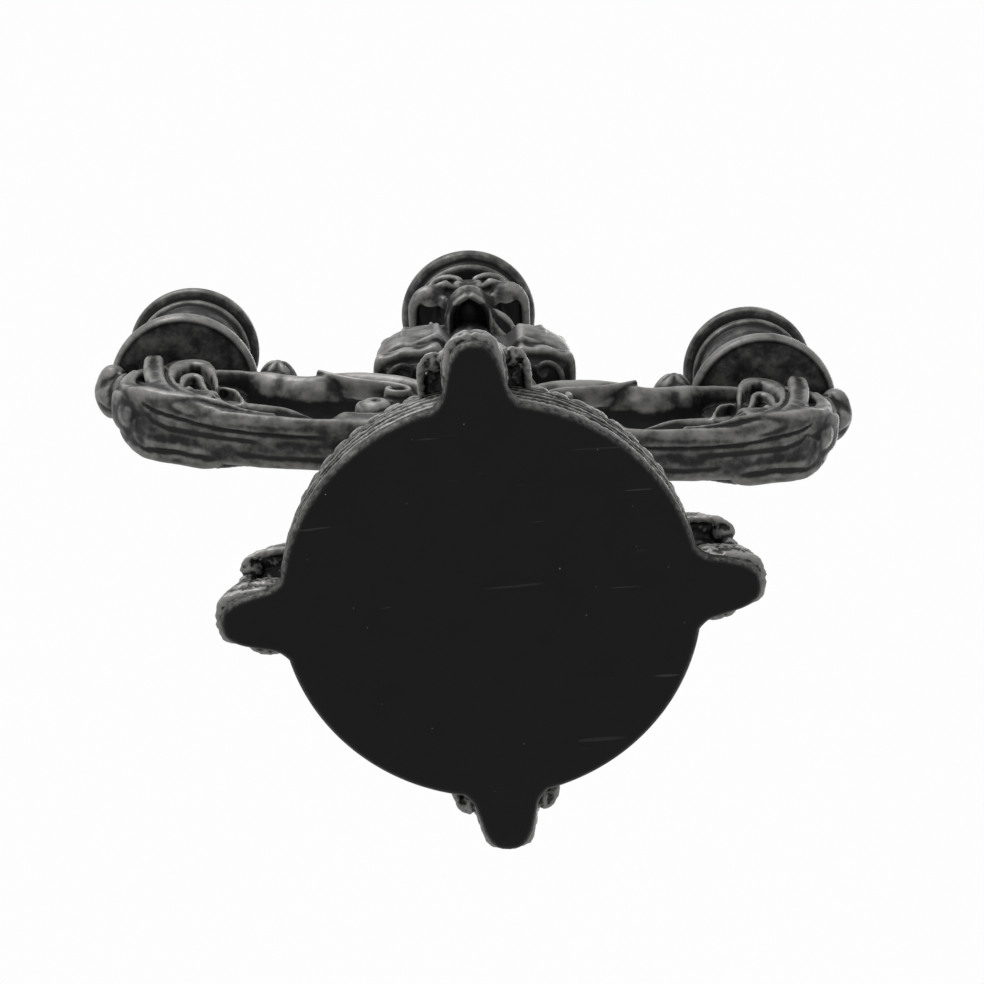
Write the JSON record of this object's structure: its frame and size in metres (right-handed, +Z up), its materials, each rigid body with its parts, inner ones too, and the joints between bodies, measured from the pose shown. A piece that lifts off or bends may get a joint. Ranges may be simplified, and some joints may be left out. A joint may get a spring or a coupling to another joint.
{
  "type": "candelabra",
  "caption": "Gothic candelabra: a round base on skull feet, a turned stem, scroll arms with candle cups and a skull that carries the middle candle cup.",
  "frame": {"origin": "centre of the base's underside, on the stem's axis, in the plane it stands on", "axes": "+Z up along the stem, +X towards the viewer's right and nearly along the right arm, -Y to the front that the middle skull faces"},
  "size_m": [0.2752, 0.1588, 0.335],
  "materials": {
    "black_resin": "cast resin, painted black, with silver rubbed over its raised parts and a satin coat",
    "base_black": "flat black paint on the underside, faintly scuffed",
    "steel": "bright zinc plated steel",
    "tin": "darkened pressed steel",
    "beech": "bare turned beech"
  },
  "bodies": {
    "root": {"base_drum": "black_resin", "base_dome": "black_resin", "foot_skull_front": "black_resin", "foot_skull_right": "black_resin", "foot_skull_back": "black_resin", "foot_skull_left": "black_resin", "stem_vase": "black_resin", "stem_knop": "black_resin", "stem_column": "black_resin", "shoulder": "black_resin", "crown_skull": "black_resin", "crown_pan": "black_resin", "arm_hub": "black_resin", "base_plate": "base_black", "foot_dowel_front": "beech", "foot_dowel_right": "beech", "foot_dowel_back": "beech", "foot_dowel_left": "beech", "tie_rod": "steel", "base_washer": "steel", "base_nut": "steel", "crown_nut": "steel", "crown_liner": "tin", "arm_right": "black_resin", "arm_stud_right": "steel", "pan_right": "black_resin", "cup_right": "black_resin", "liner_right": "tin", "cup_screw_right": "steel", "arm_left": "black_resin", "arm_stud_left": "steel", "pan_left": "black_resin", "cup_left": "black_resin", "liner_left": "tin", "cup_screw_left": "steel"}
  },
  "joints": []
}
